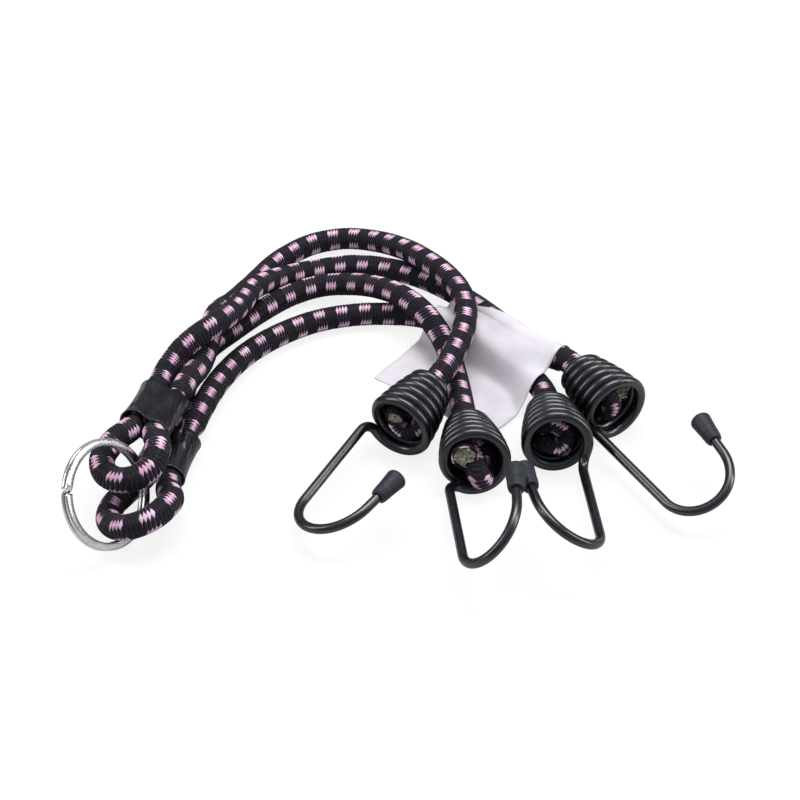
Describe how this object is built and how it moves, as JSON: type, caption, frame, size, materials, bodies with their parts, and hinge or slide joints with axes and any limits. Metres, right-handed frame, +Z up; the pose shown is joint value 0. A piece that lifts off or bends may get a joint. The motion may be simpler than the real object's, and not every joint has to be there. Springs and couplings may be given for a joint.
{
  "type": "bungee cord set",
  "caption": "Elastic cord set: braided arms from a split ring, each ending in a stopper knot inside a cone-wound wire hook with a soft tip cap; folded care label on one arm.",
  "frame": {"origin": "centre of the footprint without the arms' cords, on the surface the set lies on", "axes": "+Z up, +X from the split ring towards the hooks, +Y away from the hooks, over the arc of the cords"},
  "size_m": [0.205, 0.1896, 0.0321],
  "materials": {
    "braided_cover": "woven cover, black with rings of pink marks",
    "rubber_core": "bundle of pale rubber strands",
    "black_sleeve": "satin",
    "crimp_band": "rolled, bare",
    "chrome_ring": "bright nickel plate",
    "hook_wire": "glossy black dip coat",
    "tip_cap": "matte moulded",
    "care_label": "satin woven ribbon, bare"
  },
  "bodies": {
    "root": {"sleeve_upper": "black_sleeve", "sleeve_lower": "black_sleeve", "crimp_band_upper": "crimp_band", "crimp_band_lower": "crimp_band", "loop_upper_sheath": "braided_cover", "loop_upper_core": "rubber_core", "loop_lower_sheath": "braided_cover", "loop_lower_core": "rubber_core", "arm_1_base_sheath": "braided_cover", "arm_1_base_core": "rubber_core", "arm_1_sheath": "braided_cover", "arm_1_core": "rubber_core", "arm_2_base_sheath": "braided_cover", "arm_2_base_core": "rubber_core", "arm_2_sheath": "braided_cover", "arm_2_core": "rubber_core", "arm_3_base_sheath": "braided_cover", "arm_3_base_core": "rubber_core", "arm_3_sheath": "braided_cover", "arm_3_core": "rubber_core", "arm_4_base_sheath": "braided_cover", "arm_4_base_core": "rubber_core", "arm_4_sheath": "braided_cover", "arm_4_core": "rubber_core", "tag": "care_label"},
    "ring": {"split_ring": "chrome_ring"},
    "end_1": {"knot_1_sheath": "braided_cover", "knot_1_core": "rubber_core"},
    "hook_1": {"hook_wire_1": "hook_wire", "tip_cap_1": "tip_cap"},
    "end_2": {"knot_2_sheath": "braided_cover", "knot_2_core": "rubber_core"},
    "hook_2": {"hook_wire_2": "hook_wire", "tip_cap_2": "tip_cap"},
    "end_3": {"knot_3_sheath": "braided_cover", "knot_3_core": "rubber_core"},
    "hook_3": {"hook_wire_3": "hook_wire", "tip_cap_3": "tip_cap"},
    "end_4": {"knot_4_sheath": "braided_cover", "knot_4_core": "rubber_core"},
    "hook_4": {"hook_wire_4": "hook_wire", "tip_cap_4": "tip_cap"}
  },
  "joints": [
    {"name": "ring_spin", "type": "hinge", "parent": "root", "child": "ring", "pos_m": [-0.0911, -0.0425, 0.0161], "axis": [0.7901, -0.4236, 0.4431], "continuous": true},
    {"name": "stretch_1", "type": "slide", "parent": "root", "child": "end_1", "axis": [-0.5, -0.866, 0], "range_m": [0, 0.15], "stiffness_N_per_m": 250, "deforming": ["arm_1_sheath", "arm_1_core"]},
    {"name": "swivel_1", "type": "hinge", "parent": "end_1", "child": "hook_1", "pos_m": [-0.002, -0.0061, 0.0114], "axis": [-0.4968, -0.864, -0.0819], "continuous": true},
    {"name": "stretch_2", "type": "slide", "parent": "root", "child": "end_2", "axis": [-0.0698, -0.9976, 0], "range_m": [0, 0.125], "stiffness_N_per_m": 250, "deforming": ["arm_2_sheath", "arm_2_core"]},
    {"name": "swivel_2", "type": "hinge", "parent": "end_2", "child": "hook_2", "pos_m": [0.0225, -0.0234, 0.0118], "axis": [0.0876, -0.9821, 0.1668], "range_deg": [0, 90]},
    {"name": "stretch_3", "type": "slide", "parent": "root", "child": "end_3", "axis": [0.2079, -0.9781, 0], "range_m": [0, 0.115], "stiffness_N_per_m": 250, "deforming": ["arm_3_sheath", "arm_3_core"]},
    {"name": "swivel_3", "type": "hinge", "parent": "end_3", "child": "hook_3", "pos_m": [0.049, -0.0146, 0.0119], "axis": [0.0533, -0.9843, 0.1685], "continuous": true},
    {"name": "stretch_4", "type": "slide", "parent": "root", "child": "end_4", "axis": [0.515, -0.8572, 0], "range_m": [0, 0.14], "stiffness_N_per_m": 250, "deforming": ["arm_4_sheath", "arm_4_core"]},
    {"name": "swivel_4", "type": "hinge", "parent": "end_4", "child": "hook_4", "pos_m": [0.0701, 0.0031, 0.0115], "axis": [0.5192, -0.8539, -0.0349], "continuous": true}
  ]
}
